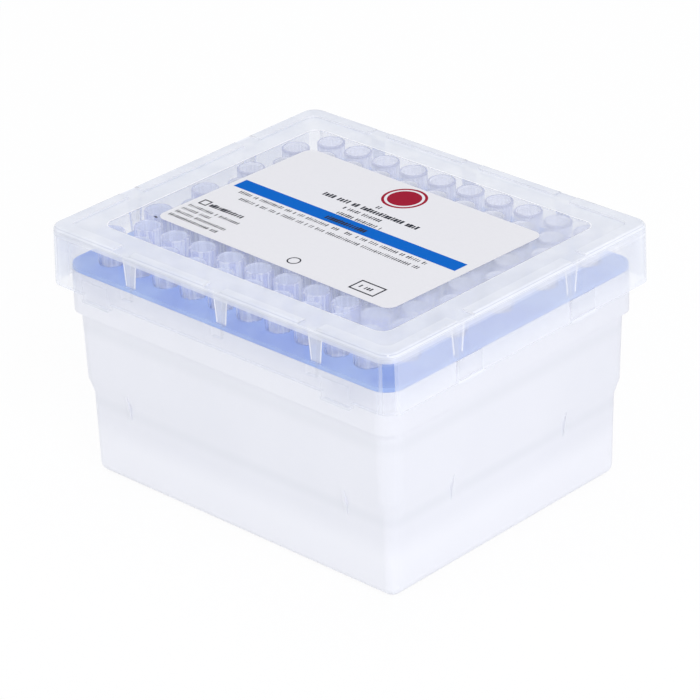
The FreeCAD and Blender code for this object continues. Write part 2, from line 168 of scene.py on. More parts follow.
def makeCamera(view):
    azimuth, elevation, roll = (
        math.radians(view[angle]) for angle in ("azimuth", "elevation", "roll"))
    back = Vector((math.sin(azimuth) * math.cos(elevation),
                   -math.cos(azimuth) * math.cos(elevation),
                   math.sin(elevation)))
    level = Vector((math.cos(azimuth), math.sin(azimuth), 0))
    upright = back.cross(level)
    right = math.cos(roll) * level + math.sin(roll) * upright
    up = math.cos(roll) * upright - math.sin(roll) * level
    data = bpy.data.cameras.new("camera")
    data.lens, data.sensor_width = view["lens"], view["sensor"]
    data.clip_start, data.clip_end = view["clip"]
    camera = bpy.data.objects.new("camera", data)
    camera.matrix_world = Matrix((right, up, back)).transposed().to_4x4()
    camera.location = (Vector(view["target"]) + back * view["distance"]
                       + right * view["across"] + up * view["upward"])
    scene.collection.objects.link(camera)
    scene.camera = camera


makeCamera(cameraView)


# floor, white surroundings and three soft lamps
studio = {
    "floorSize": 6.0, "floorColor": (0.96, 0.965, 0.97, 1), "floorGlow": 0.92,
    "white": (1, 1, 1, 1), "skyColor": (0.965, 0.973, 1.0, 1), "skyStrength": 0.62,
    "lamps": (
        # name, place, aimed at, width, watts, colour
        ("keyLamp", (1.3, -0.5, 0.9), (0, 0, 0.04), 1.0, 9.4, (0.98, 0.965, 1.0)),
        ("fillLamp", (-0.9, -1.3, 0.7), (0, 0, 0.04), 1.1, 5.0, (1.0, 0.98, 0.95)),
        ("topLamp", (-0.2, 0.4, 1.6), (0, 0, 0.05), 1.2, 6.0, (1.0, 1.0, 1.0)),
    ),
}


def seenDirectly(nodes):
    return nodes.rays("Camera").most(nodes.rays("Glossy")).most(nodes.rays("Transmission"))


def makeFloor():
    half = studio["floorSize"] / 2
    corners = [(-half, -half, 0), (half, -half, 0), (half, half, 0), (-half, half, 0)]
    mesh = bpy.data.meshes.new("floor")
    mesh.from_pydata(corners, [], [(0, 1, 2, 3)])
    floor = bpy.data.objects.new("floor", mesh)
    scene.collection.objects.link(floor)
    finish = Finish("paleFloor")
    matt = finish.node("ShaderNodeBsdfDiffuse", {}, {"Color": studio["floorColor"]})
    glow = finish.node("ShaderNodeEmission", {}, {"Color": studio["white"], "Strength": 1.0})
    share = seenDirectly(finish) * studio["floorGlow"]
    mixed = {0: share, 1: matt.outputs[0], 2: glow.outputs[0]}
    mesh.materials.append(finish.surface(mixed, "ShaderNodeMixShader"))


def makeSky():
    scene.world = bpy.data.worlds.new("studio")
    scene.world.use_nodes = True
    sky = Nodes(scene.world.node_tree)
    sky.tree.nodes.clear()
    soft, plain = (
        sky.node("ShaderNodeBackground", {}, {"Color": colour, "Strength": strength}).outputs[0]
        for colour, strength in (
            (studio["skyColor"], studio["skyStrength"]), (studio["white"], 1.0)))
    mix = sky.node("ShaderNodeMixShader", {}, {0: seenDirectly(sky), 1: soft, 2: plain})
    sky.node("ShaderNodeOutputWorld", {}, {"Surface": mix.outputs[0]})


def makeLamps():
    for name, place, aim, width, watts, colour in studio["lamps"]:
        data = bpy.data.lights.new(name, "AREA")
        data.size, data.energy, data.color = width, watts, colour
        lamp = bpy.data.objects.new(name, data)
        lamp.location = place
        lamp.rotation_euler = (Vector(aim) - Vector(place)).to_track_quat("-Z", "Y").to_euler()
        scene.collection.objects.link(lamp)


makeFloor()
makeSky()
makeLamps()
print("studio ready")


def addPiece(name, mesh, body, slot, *replaced):
    piece = bpy.data.objects.new(name, mesh)
    scene.collection.objects.link(piece)
    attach(piece, body)
    if replaced:
        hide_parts(*replaced)
    return piece


# a CAD node that stays, with a better material
def dress(node, material):
    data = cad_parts[node].data
    data.materials.clear()
    data.materials.append(material)


# points on a level circle, in order round Z
def roundPoints(radius, steps):
    turns = (2 * math.pi * step / steps for step in range(steps))
    return [(radius * math.cos(turn), radius * math.sin(turn)) for turn in turns]


# ten staggered rows of tips, each tip with a filter plug in its mouth
tips = {
    "pitch": 11.7 * mm, "perRow": 10, "rows": 10,
    "empty": 2,  # places left out in the middle of each of the two middle rows
    "segments": 48, "ribDepth": 0.16 * mm, "collarLength": 10.2 * mm, "length": 78.0 * mm,
    "collarRadius": 4.45 * mm, "collarFoot": 4.3 * mm, "bodyRadius": 3.9 * mm,
    "mouthRadius": 3.65 * mm, "endRadius": 0.65 * mm, "endBore": 0.35 * mm,
    "rimHeight": 1.1 * mm, "rimChamfer": 0.25 * mm,
    "plugDepth": 12.5 * mm, "plugLength": 6.0 * mm, "plugGap": 0.03 * mm, "plugEdge": 0.3 * mm,
    "plugSegments": 16,
    # zones of the finish: how far below the top they start, and how softly; below the first the
    # tips are painted darker and bluer, as painted shade and a painted reflection of the blue
    # plate, and above it paler, as painted light
    "paleLitUpper": (9.0 * mm, 6.0 * mm), "upper": (6.0 * mm, 3.5 * mm), "rim": (0.8 * mm, 0.25 * mm),
    "rearRows": (-10 * mm, 40 * mm),
    # pairs are between the painted glint streaks and on them, or for the front rows and the rear
    # ones
    "shadedBlueColours": ((0.29, 0.37, 0.82, 1), (0.68, 0.76, 0.95, 1)),
    "paleLitColours": ((0.38, 0.44, 0.82, 1), (0.86, 0.895, 0.97, 1)),
    # painted light: the rear rows paler and greyer than the front ones
    "paleRearColour": (0.78, 0.79, 0.84, 1), "paleRearShare": 0.6,
    # painted shade: a dark line round each rim, faint on the front rows, for light bent at the
    # rim's edge
    "rimShadeColour": (0.48, 0.50, 0.66, 1), "frontRims": 0.35,
    # painted light: the bores paler than their shading gives, palest in the rear rows
    "paleBoreColours": ((0.68, 0.73, 0.88, 1), (0.86, 0.87, 0.92, 1)),
    "haze": {"plain": 0.18, "upper": 0.26, "glintStreak": 0.16, "rim": 0.3, "bore": 0.22},
    "glintStreaks": (850, 2, (1, 1, 0.05)), "glintStreakEdge": (0.52, 0.10),  # upright painted glints, as light caught in moulded ribs would give
    "smoothest": 0.3, "rougher": 0.1,  # roughness, and what the glint streaks add to it
    "paintedGlow": 0.10,  # painted glow: emission standing in for light that shines through the clear plastic
    "fibre": (2600, 3), "fibreColours": ((0.80, 0.81, 0.84, 1), (0.92, 0.92, 0.94, 1)),
    "fibreBump": 0.5, "fibreDepth": 0.05 * mm, "fibreRoughness": 0.9,
}


def boreSlope():
    return (tips["mouthRadius"] - tips["endBore"]) / tips["length"]


# a closed run of (radius, height, share of the rib depth), spun about Z
def turned(profile, segments, ribDepth):
    points, faces = [], []
    for radius, height, share in profile:
        for step in range(segments):
            reach = radius - share * ribDepth * (step % 2)
            angle = 2 * math.pi * step / segments
            points.append((reach * math.cos(angle), reach * math.sin(angle), height))
    for ring in range(len(profile)):
        following = (ring + 1) % len(profile)
        for step in range(segments):
            turn = (step + 1) % segments
            faces.append((ring * segments + turn, ring * segments + step,
                          following * segments + step, following * segments + turn))
    return points, faces


def makeTip():
    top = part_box("tips_row_01")[1].z
    foot, ledge = top - tips["length"], top - tips["collarLength"]
    chamfer, rimFoot = tips["rimChamfer"], top - tips["rimHeight"]
    collar, mouth = tips["collarRadius"], tips["mouthRadius"]
    outside = (
        (mouth + chamfer / 2, top, 0),
        (collar - chamfer, top, 0),
        (collar, top - chamfer, 0),
        (collar, rimFoot, 0),
        (collar, rimFoot - chamfer, 1),
        (tips["collarFoot"], ledge + chamfer, 1),
        (tips["collarFoot"] - chamfer / 2, ledge, 0),
        (tips["bodyRadius"], ledge, 0),
        (tips["endRadius"], foot, 0),
    )
    inside = (
        (tips["endBore"], foot, 0),
        (mouth - boreSlope() * tips["plugDepth"], top - tips["plugDepth"], 0),
        (mouth - boreSlope() * chamfer, top - chamfer, 0),
    )
    points, faces = turned(outside + inside, tips["segments"], tips["ribDepth"])
    mesh = bpy.data.meshes.new("tip")
    mesh.from_pydata(points, [], faces)
    bore = mesh.attributes.new("bore", "FLOAT", "FACE")
    firstInside = tips["segments"] * len(outside)
    bore.data.foreach_set("value", [float(index >= firstInside) for index in range(len(faces))])
    return mesh


def makePlug():
    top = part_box("filters_row_01")[1].z
    foot, edge = top - tips["plugLength"], tips["plugEdge"]
    upper = tips["mouthRadius"] - boreSlope() * tips["plugDepth"] - tips["plugGap"]
    lower = upper - boreSlope() * tips["plugLength"]
    steps = tips["plugSegments"]
    work = bmesh.new()
    rings = [[work.verts.new((x, y, height)) for x, y in roundPoints(radius, steps)]
             for radius, height in ((lower - edge, foot), (lower, foot + edge),
                                    (upper, top - edge), (upper - edge, top))]
    work.faces.new(rings[0][::-1])
    work.faces.new(rings[-1])
    for below, above in zip(rings, rings[1:]):
        for step in range(steps):
            turn = (step + 1) % steps
            work.faces.new((below[step], below[turn], above[turn], above[step]))
    mesh = bpy.data.meshes.new("plug")
    work.to_mesh(mesh)
    work.free()
    return mesh


# a Geometry Nodes tree with named inputs
class Tree(Nodes):
    def __init__(self, name, inputs):
        super().__init__(bpy.data.node_groups.new(name, "GeometryNodeTree"))
        interface = self.tree.interface
        interface.new_socket("Geometry", in_out="OUTPUT", socket_type="NodeSocketGeometry")
        for socketName, kind in inputs.items():
            interface.new_socket(socketName, in_out="INPUT", socket_type=f"NodeSocket{kind}")
        sockets = self.node("NodeGroupInput", {}, {}).outputs
        self.given = {socket.name: Value(self, socket) for socket in sockets if socket.name}

    def finish(self, geometry):
        solid = self.node("GeometryNodeRealizeInstances", {}, {0: geometry})
        finished = self.node("GeometryNodeSetMaterial", {},
                             {0: solid.outputs[0], "Material": self.given["Finish"]})
        self.node("NodeGroupOutput", {}, {0: finished.outputs[0]})
        return self

    # the tree's result as a plain mesh
    def grow(self, name, values):
        shape = bpy.data.objects.new(name, bpy.data.meshes.new(name))
        scene.collection.objects.link(shape)
        modifier = shape.modifiers.new("grow", "NODES")
        modifier.node_group = self.tree
        for item in self.tree.interface.items_tree:
            if item.in_out == "INPUT":
                modifier[item.identifier] = values[item.name]
        bpy.context.view_layer.update()
        graph = bpy.context.evaluated_depsgraph_get()
        mesh = bpy.data.meshes.new_from_object(shape.evaluated_get(graph))
        mesh.name = name
        bpy.data.objects.remove(shape)
        mesh.materials.clear()
        mesh.materials.append(values["Finish"])
        mesh.polygons.foreach_set("material_index", [0] * len(mesh.polygons))
        return mesh


# sets one part out on staggered rows, with the middle places left empty
def latticeTree():
    tree = Tree("staggeredRows", {"Part": "Object", "Finish": "Material", "Pitch": "Float",
                                  "Per Row": "Int", "Rows": "Int", "Empty": "Int"})
    given = tree.given
    index = Value(tree, tree.node("GeometryNodeInputIndex", {}, {}).outputs[0])
    row = index.reckon("FLOOR", index / given["Per Row"])
    place = index - row * given["Per Row"]
    fromMiddle = place - (given["Per Row"] - 1) / 2
    rowFromMiddle = row - (given["Rows"] - 1) / 2
    shift = given["Pitch"] * (0.25 - row.reckon("MODULO", row, 2) / 2)  # a quarter to each side
    rowPitch = given["Pitch"] * (math.sqrt(3) / 2)
    spots = tree.node("GeometryNodePoints", {}, {"Count": given["Per Row"] * given["Rows"]})
    spot = tree.node("ShaderNodeCombineXYZ", {}, {0: fromMiddle * given["Pitch"] + shift,
                                                  1: -1 * rowFromMiddle * rowPitch})
    placed = tree.node("GeometryNodeSetPosition", {},
                       {0: spots.outputs[0], "Position": spot.outputs[0]})
    middleRow = index.reckon("LESS_THAN", abs(rowFromMiddle), 1)
    middlePlace = index.reckon("LESS_THAN", abs(fromMiddle), given["Empty"] / 2)
    kept = tree.node("GeometryNodeDeleteGeometry", {"domain": "POINT"},
                     {0: placed.outputs[0], "Selection": middleRow * middlePlace})
    part = tree.node("GeometryNodeObjectInfo", {}, {"Object": given["Part"]})
    copies = tree.node("GeometryNodeInstanceOnPoints", {},
                       {"Points": kept.outputs[0], "Instance": part.outputs["Geometry"]})
    return tree.finish(copies.outputs[0])


def tipFinish():
    finish = Finish("clearTipPlastic")
    depth, height = finish.axes()[1:]
    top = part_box("tips_row_01")[1].z
    # painted shade and light: darker and bluer low on the tips, paler up high
    paleLitUpper, upper, rimZone = (height.above(top - below, fade) for below, fade in (
        tips["paleLitUpper"], tips["upper"], tips["rim"]))
    rear = depth.above(*tips["rearRows"])
    # painted glints: upright pale streaks, hazier and rougher
    glintStreak = finish.noise(*tips["glintStreaks"]).above(*tips["glintStreakEdge"])
    bore = finish.attribute("bore")
    rim = rimZone * (tips["frontRims"] + rear * (1 - tips["frontRims"]))
    low, high = (finish.blend(glintStreak, *tips[name]) for name in ("shadedBlueColours", "paleLitColours"))
    # painted light: the rear rows paler and greyer
    wall = finish.blend(rear * tips["paleRearShare"], finish.blend(paleLitUpper, low, high),
                        tips["paleRearColour"])
    # painted shade round the rims
    outside = finish.blend(rim, wall, tips["rimShadeColour"])
    # painted light inside the bores
    colour = finish.blend(bore, outside, finish.blend(rear, *tips["paleBoreColours"]))
    haze = tips["haze"]
    hazed = (haze["plain"] + upper * haze["upper"] + glintStreak * haze["glintStreak"]
             + rim * haze["rim"] + bore * haze["bore"])
    return finish.surface({
        "Base Color": colour, "IOR": plasticIor, "Alpha": finish.clear(hazed),
        "Roughness": tips["smoothest"] + glintStreak * tips["rougher"],
        # a painted glow in the tips' own colour
        "Emission Color": colour, "Emission Strength": tips["paintedGlow"],
    })


def plugFinish():
    finish = Finish("filterFibre")
    grain = finish.noise(*tips["fibre"])
    return finish.surface({
        "Base Color": finish.blend(grain, *tips["fibreColours"]),
        "Roughness": tips["fibreRoughness"],
        "Normal": finish.bump(grain, tips["fibreBump"], tips["fibreDepth"]),
    })


def makeTips():
    tree = latticeTree()
    for name, mesh, finish, slot, nodes in (
        ("filterTips", makeTip(), tipFinish(), "tip_plastic", "tips_row"),
        ("filterPlugs", makePlug(), plugFinish(), "filter_fibre", "filters_row"),
    ):
        single = bpy.data.objects.new("single", mesh)
        scene.collection.objects.link(single)
        grown = tree.grow(name, {"Part": single, "Finish": finish, "Pitch": tips["pitch"],
                                 "Per Row": tips["perRow"], "Rows": tips["rows"],
                                 "Empty": tips["empty"]})
        bpy.data.objects.remove(single)
        replaced = [f"{nodes}_{row:02d}" for row in range(1, tips["rows"] + 1)]
        piece = addPiece(name, grown, "box", slot, *replaced)
        piece.visible_shadow = False  # light passes through the clear tips to the plate below
        print(name, len(grown.polygons), "faces")


makeTips()


rack = {
    "mottle": (60, 3), "mottleEdge": (0.5, 0.22),
    "colours": ((0.26, 0.39, 0.81, 1), (0.38, 0.53, 0.88, 1)),
    "grain": (1800, 2), "grainBump": 0.15, "grainDepth": 0.04 * mm,
    "smoothest": 0.22, "rougher": 0.08,  # roughness, and what the grain adds to it
}


def rackFinish():
    finish = Finish("blueRackPlastic")
    mottle = finish.noise(*rack["mottle"]).above(*rack["mottleEdge"])
    grain = finish.noise(*rack["grain"])
    return finish.surface({
        "Base Color": finish.blend(mottle, *rack["colours"]),
        "Roughness": rack["smoothest"] + grain * rack["rougher"],
        "Normal": finish.bump(grain, rack["grainBump"], rack["grainDepth"]),
    })


dress("tip_rack", rackFinish())
print("rack plate ready")


# a copy of a CAD node's mesh, with its doubles merged and its flat faces joined up
def cleanCopy(node, weld=0.002 * mm, flatAngle=0.6):
    work = bmesh.new()
    work.from_mesh(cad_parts[node].data)
    bmesh.ops.remove_doubles(work, verts=work.verts, dist=weld)
    bmesh.ops.dissolve_limit(work, angle_limit=math.radians(flatAngle), verts=work.verts,
                             edges=work.edges)
    return work


# bevel weights, so that each edge is rounded no more than its narrowest face allows
def weighEdges(work, width, flattest=24.0, share=0.4):
    weight = work.edges.layers.float.new("bevel_weight_edge")
    for edge in work.edges:
        if len(edge.link_faces) == 2 and edge.calc_face_angle() > math.radians(flattest):
            room = min(face.calc_area() / max(other.calc_length() for other in face.edges)
                       for face in edge.link_faces)
            edge[weight] = min(1.0, share * room / width)


# the finished shell, without the normals that the CAD copy brought along, and its rounded edges
def addShell(work, name, body, slot, node, finish, settings, joinWithin=0.0018 * mm):
    weighEdges(work, settings["bevel"])
    mesh = bpy.data.meshes.new(name)
    work.to_mesh(mesh)
    work.free()
    if "custom_normal" in mesh.attributes:
        mesh.attributes.remove(mesh.attributes["custom_normal"])
    mesh.materials.append(finish)
    piece = addPiece(name, mesh, body, slot, node)
    mesh.polygons.foreach_set("use_smooth", [True] * len(mesh.polygons))
    modifier = piece.modifiers.new("edges", "BEVEL")
    modifier.width, modifier.segments = settings["bevel"], settings["bevelSteps"]
    modifier.limit_method = "WEIGHT"
    modifier.use_clamp_overlap = True
    piece.modifiers.new("joinUp", "WELD").merge_threshold = joinWithin
    piece.modifiers.new("flatSides", "WEIGHTED_NORMAL").weight = 100
    print(name, len(mesh.polygons), "faces before rounding")


base = {
    "bevel": 0.22 * mm, "bevelSteps": 2,
    "clouds": (26, 3, (1, 1, 0.6)),
    "wallColours": ((0.795, 0.812, 0.866, 1), (0.855, 0.866, 0.916, 1)),
    # painted shade under the sloping step and under the band: height and reach
    "shadeLines": ((25.3 * mm, 3.2 * mm), (51.5 * mm, 4.0 * mm)),
    "shadeColour": (0.765, 0.785, 0.835, 1), "shadeShare": 0.5,
    "floorLitBelow": (16.0 * mm, 5.0 * mm),  # painted light from the floor, the foot whiter below this: height and softness
    "floorLitColour": (0.93, 0.94, 0.98, 1), "floorLitShare": 0.6,
    "grain": (2400, 2), "grainBump": 0.12, "grainDepth": 0.04 * mm,
    "smoothest": 0.42, "rougher": 0.1,  # roughness, and what the grain adds to it
}


def baseFinish():
    finish = Finish("milkyBasePlastic")
    height = finish.axes()[2]
    cloud = finish.noise(*base["clouds"])
    grain = finish.noise(*base["grain"])
    # painted shade: grey lines at the foot of the sloping step and under the band
    line, underBandShade = (height.near(place, reach) for place, reach in base["shadeLines"])
    # painted light: the foot whiter, as if lit from the floor
    foot = 1 - height.above(*base["floorLitBelow"])
    wall = finish.blend(line.most(underBandShade) * base["shadeShare"],
                        finish.blend(cloud, *base["wallColours"]), base["shadeColour"])
    return finish.surface({
        "Base Color": finish.blend(foot * base["floorLitShare"], wall, base["floorLitColour"]),
        "Roughness": base["smoothest"] + grain * base["rougher"], "IOR": plasticIor,
        "Normal": finish.bump(grain, base["grainBump"], base["grainDepth"]),
    })


addShell(cleanCopy("base_box"), "baseShell", "box", "base_plastic", "base_box", baseFinish(), base)


lid = {
    "bevel": 0.32 * mm, "bevelSteps": 2,
    # form of the CAD lid, by which its faces are told apart
    "borderRise": 0.3 * mm, "plate": 1.0 * mm,  # border over the panel, and the panel's thickness
    "skirtFoot": 65.6 * mm, "guideTop": 71.7 * mm, "taper": 0.0263, "wall": 1.6 * mm,
    "beadProud": 0.7 * mm, "beadFrom": 0.45 * mm, "tabFrom": 0.1 * mm,  # outside the skirt's wall
    "ribFrom": 0.7 * mm, "ribSideFrom": 8.0 * mm, "stepFrom": 3.0 * mm,  # inside it
    "milkyFrom": 2.8 * mm, "roundFrom": 1.4 * mm, "insideRound": 1.2 * mm,  # below top or plate
    "cornerSlant": 0.42, "edgeSlant": 0.12, "tolerance": 0.05 * mm,
    # painted highlight strips along the ribs and round the panel, standing in for light bent at
    # their edges
    "paintedHighlightStrips": {"ribFace": 0.5 * mm, "endRibFace": 0.6 * mm, "border": 0.25 * mm},
    "panelReach": 1.0 * mm, "uprightShare": 0.7,
    # how milky each zone of the lid is, 0 for glass clear and 1 for solid white
    "haze": {
        # painted highlights: the inset strips get the haze of 1.0
        "edge": 1.0, "panel": 0.32, "inside": 0.08, "border": 0.85, "step": 0.4,
        "lip": 0.92, "lipWall": 0.95, "round": 0.9, "insideRound": 0.8, "milky": 0.66,
        # painted light: the end skirts hazier, so whiter, than the long ones
        "skirt": 0.17, "endSkirt": 0.44, "innerWall": 0.12, "foot": 0.25,
        # painted highlights down the corners' tangents; the two opposite corners get a painted
        # sheen
        "corner": 0.05, "cornerEdge": 0.38, "milkyCorner": 0.5,
        "ribSide": 0.06, "ribFace": 0.74, "endRibFace": 0.25, "guide": 0.04,
        "tab": 0.32, "bead": 0.8,
    },
    # haze on top of the zones' own: how much, and where it starts and how softly; the added haze
    # at the rear and on two opposite corners is a painted sheen that whitens them, and the panel
    # is hazier towards its right end
    "clouds": (40, 3), "cloudHaze": 0.06, "rearHaze": 0.02, "rear": (0, 50 * mm),
    "cornerHaze": 0.26, "sheenCorners": (3500 * mm * mm, 350 * mm * mm),
    "panelEndHaze": 0.14, "panelEnd": (44 * mm, 16 * mm), "panelBelow": (3.5 * mm, 0.5 * mm),
    # the finish by a face's haze: from which haze it turns, and how softly
    "hazy": (0.6, 0.1), "milkyAbove": (0.3, 0.25), "highlightAbove": (0.95, 0.04),
    "lipEndAbove": (0.925, 0.02),
    "clearColour": (0.65, 0.69, 0.82, 1), "highlightColour": (0.96, 0.965, 0.985, 1),
    "flowMarks": (110, 4), "flowEdge": (0.5, 0.2),
    "milkyColours": ((0.735, 0.765, 0.835, 1), (0.80, 0.825, 0.88, 1)),
    # painted light: the ends and the two sheen corners whiter
    "paintedLightEnds": (2.2 * mm, 0.6 * mm), "paintedLightColour": (0.90, 0.925, 0.98, 1),
    "smoothest": 0.2, "rougher": 0.06,  # roughness, and what the clouds add to it
    # painted shade: thin dark lines round the lip, for light bent in the plate's edge: how far
    # below the top, and reach
    "paintedDarkLines": ((1.15 * mm, 0.2 * mm), (0.35 * mm, 0.16 * mm)),
    "darkLineColour": (0.50, 0.53, 0.60, 1), "darkLineShare": 0.5,
}


# which zone of the lid each face belongs to
def zonesOfFaces(work, square=0.9, nearlySquare=0.1):
    low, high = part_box("lid")
    middle = (low + high) / 2
    halfX, halfY = high.x - middle.x - lid["beadProud"], high.y - middle.y - lid["beadProud"]
    panel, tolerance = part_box("lid_label")[0].z, lid["tolerance"]
    border, underside = panel + lid["borderRise"], panel - lid["plate"]
    for face in work.faces:
        centre, normal = face.calc_center_median() - middle, face.normal
        height = centre.z + middle.z
        lean = (height - lid["skirtFoot"]) * lid["taper"]
        proud = max(abs(centre.x) - halfX + lean, abs(centre.y) - halfY + lean)
        slant = min(abs(normal.x), abs(normal.y))  # 0 on a side, 0.7 in the middle of a corner
        endwards, sidewards = abs(normal.x) > square, abs(normal.y) > square
        outwards = normal.x * centre.x + normal.y * centre.y > 0
        acrossRib = (endwards and abs(centre.x) < halfX - lid["ribSideFrom"]
                     or sidewards and abs(centre.y) < halfY - lid["ribSideFrom"])
        if normal.z > square:
            zone = ("panel" if abs(height - panel) < tolerance
                    else "border" if abs(height - border) < tolerance
                    else "lip" if height > border else "foot")
        elif height > border + tolerance:
            onRound = outwards and proud > -lid["roundFrom"] - tolerance
            zone = "round" if onRound else "lipWall"
        elif panel - tolerance < height < border + tolerance and proud < -lid["stepFrom"]:
            zone = "step"
        elif normal.z < -square:
            zone = "inside" if height > underside - tolerance else "foot"
        elif acrossRib:
            zone = "ribSide" if height > lid["guideTop"] else "guide"
        elif outwards:
            zone = ("bead" if proud > lid["beadFrom"]
                    else "tab" if proud > lid["tabFrom"]
                    else "round" if height > high.z - lid["roundFrom"]
                    else "milky" if height > high.z - lid["milkyFrom"]
                    else "milkyCorner" if slant > lid["edgeSlant"] and centre.x * centre.y > 0
                    else "corner" if slant > lid["cornerSlant"]
                    else "cornerEdge" if slant > lid["edgeSlant"]
                    else "endSkirt" if endwards else "skirt")
        elif proud < -lid["wall"] - lid["ribFrom"] and slant < nearlySquare:
            ribFace = "endRibFace" if endwards else "ribFace"
            zone = ribFace if height > lid["guideTop"] else "guide"
        else:
            zone = "insideRound" if height > underside - lid["insideRound"] else "innerWall"
        yield face, zone


# painted highlights go on the ribs' upright edge strips and on the border's strips round the panel
def getsPaintedHighlight(strip, zone, panelCorner):
    if zone == "border":
        centre, reach = strip.calc_center_median(), lid["panelReach"]
        return abs(centre.x) < panelCorner.x + reach and abs(centre.y) < panelCorner.y + reach
    runs = [edge.verts[1].co - edge.verts[0].co for edge in strip.edges]
    longest = max(runs, key=lambda run: run.length)
    return abs(longest.z) > lid["uprightShare"] * longest.length


def lidFinish():
    finish = Finish("clearLidPlastic")
    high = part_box("lid")[1]
    haze = finish.attribute("haze")
    cloud = finish.noise(*lid["clouds"])
    flow = finish.noise(*lid["flowMarks"]).above(*lid["flowEdge"])
    across, depth, height = finish.axes()
    clearer = 1 - haze.above(*lid["hazy"])
    endsFrom, endsFade = lid["paintedLightEnds"]
    litEnds = abs(across).above(high.x - endsFrom, endsFade)
    corners = (across * depth).above(*lid["sheenCorners"]) * clearer  # two opposite corners, painted hazier and whiter as a sheen seen at a grazing angle
    below, fade = lid["panelBelow"]
    onPanel = height.above(high.z - below, fade) * clearer
    panelEnd = across.above(*lid["panelEnd"]) * onPanel
    milky = finish.blend(flow, *lid["milkyColours"])
    sides = finish.blend(haze.above(*lid["milkyAbove"]), lid["clearColour"], milky)
    plain = finish.blend(litEnds.most(corners), sides, lid["paintedLightColour"])
    # painted highlights on the haziest strips
    withHighlights = finish.blend(haze.above(*lid["highlightAbove"]), plain, lid["highlightColour"])
    # painted shade lines round the lip, left off its whitest ends
    line, upperLine = (height.near(high.z - place, reach) for place, reach in lid["paintedDarkLines"])
    darkLines = line.most(upperLine) * (1 - haze.above(*lid["lipEndAbove"]))
    # painted sheen whitens the rear and the two corners; the panel is hazier towards its right end
    hazed = (haze + cloud * lid["cloudHaze"] - lid["cloudHaze"]
             + depth.above(*lid["rear"]) * lid["rearHaze"]
             + corners * lid["cornerHaze"] + panelEnd * lid["panelEndHaze"])
    return finish.surface({
        "Base Color": finish.blend(darkLines * lid["darkLineShare"], withHighlights, lid["darkLineColour"]),
        "Roughness": lid["smoothest"] + cloud * lid["rougher"], "IOR": plasticIor,
        "Alpha": finish.clear(hazed),
    })


def makeLid(together=0.001 * mm):
    work = cleanCopy("lid")
    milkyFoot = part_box("lid")[1].z - lid["milkyFrom"]
    bmesh.ops.bisect_plane(work, geom=work.verts[:] + work.edges[:] + work.faces[:],
                           dist=together, plane_co=(0, 0, milkyFoot), plane_no=(0, 0, 1))
    work.normal_update()
    haze = work.faces.layers.float.new("haze")
    zones = {}
    for face, zone in zonesOfFaces(work):
        zones.setdefault(zone, []).append(face)
    corners = [vert.co for face in zones["panel"] for vert in face.verts]
    panelCorner = Vector((max(abs(point.x) for point in corners),
                          max(abs(point.y) for point in corners)))
    for zone, faces in zones.items():
        for face in faces:
            face[haze] = lid["haze"][zone]
        if zone in lid["paintedHighlightStrips"]:
            strips = bmesh.ops.inset_region(
                work, faces=faces, thickness=lid["paintedHighlightStrips"][zone],
                use_even_offset=True, use_boundary=True)["faces"]
            for face in strips:
                highlighted = getsPaintedHighlight(face, zone, panelCorner)
                face[haze] = lid["haze"]["edge" if highlighted else zone]
    bmesh.ops.dissolve_degenerate(work, dist=together, edges=work.edges)
    addShell(work, "lidShell", "lid", "lid_plastic", "lid", lidFinish(), lid)


makeLid()


label = {
    "paperColours": ((0.75, 0.75, 0.785, 1), (0.78, 0.78, 0.81, 1)), "paperRoughness": 0.5,
    "fibre": (900, 4), "fibreBump": 0.08, "fibreDepth": 0.03 * mm,
    "inks": (("blueInk", (0.002, 0.13, 0.56)), ("redInk", (0.34, 0.012, 0.035)),
             ("darkInk", (0.03, 0.033, 0.045))),
    "inkRoughness": 0.42, "wear": (1500, 2), "wearShare": 0.25, "fadedBy": 0.9, "paler": 0.05,
    "turn": math.radians(-1.4),  # stuck on slightly askew
    "inkHeight": 0.02 * mm, "wordHeight": 0.03 * mm,
    "stroke": 0.40 * mm, "pitch": 0.98 * mm, "gaps": 0.14, "spread": 0.3,
    "strokeSizes": ((0.75, 0.66, 1), (1.6, 0.84, 1)), "sizeSeed": 7,  # least and most, as shares
    # the rest is in millimetres from the label's middle
    "stripe": (-47.0, -2.3, 45.7, 3.35),
    "roundel": (-0.4, 25.1), "disc": 5.4, "roundelRing": (6.3, 7.2), "ringSteps": 40,
    "ring": (5.1, -28.1), "ringRadii": (1.75, 2.2),
    # middle, width, height and line
    "frames": ((34.5, -27.3, 10.0, 6.3, 0.55), (-44.5, -16.7, 3.4, 3.4, 0.5)),
    "speck": ((-49.5, -33.8), (-48.1, -34.0), (-47.8, -33.5), (-48.9, -33.15)),  # on the panel
    # each line of words: left end, foot, length, height of the letters, how bold
    "lines": (
        (-2.3, 14.3, 2.6, 2.2, 1.0), (-21.5, 10.9, 40.4, 2.7, 1.9),
        (-9.6, 7.6, 17.3, 2.1, 1.0), (-8.7, 3.8, 19.0, 2.1, 1.0),
        (-42.0, -5.0, 79.6, 2.0, 0.75), (-38.2, -8.6, 75.4, 2.0, 0.75),
        (-41.5, -17.9, 17.5, 2.5, 1.7), (-46.9, -21.6, 21.9, 1.8, 0.9),
        (-46.9, -24.4, 13.0, 1.8, 0.9), (-46.9, -27.2, 22.8, 1.8, 0.9),
        (-46.9, -30.0, 22.8, 1.8, 0.9), (30.9, -28.3, 7.2, 2.1, 1.2),
    ),
    "stripeLines": ((-9.0, -0.9, 19.0, 2.6, 1.5),),
}


def paperFinish():
    finish = Finish("labelPaper")
    fibre = finish.noise(*label["fibre"])
    return finish.surface({
        "Base Color": finish.blend(fibre, *label["paperColours"]),
        "Roughness": label["paperRoughness"],
        "Normal": finish.bump(fibre, label["fibreBump"], label["fibreDepth"]),
    })


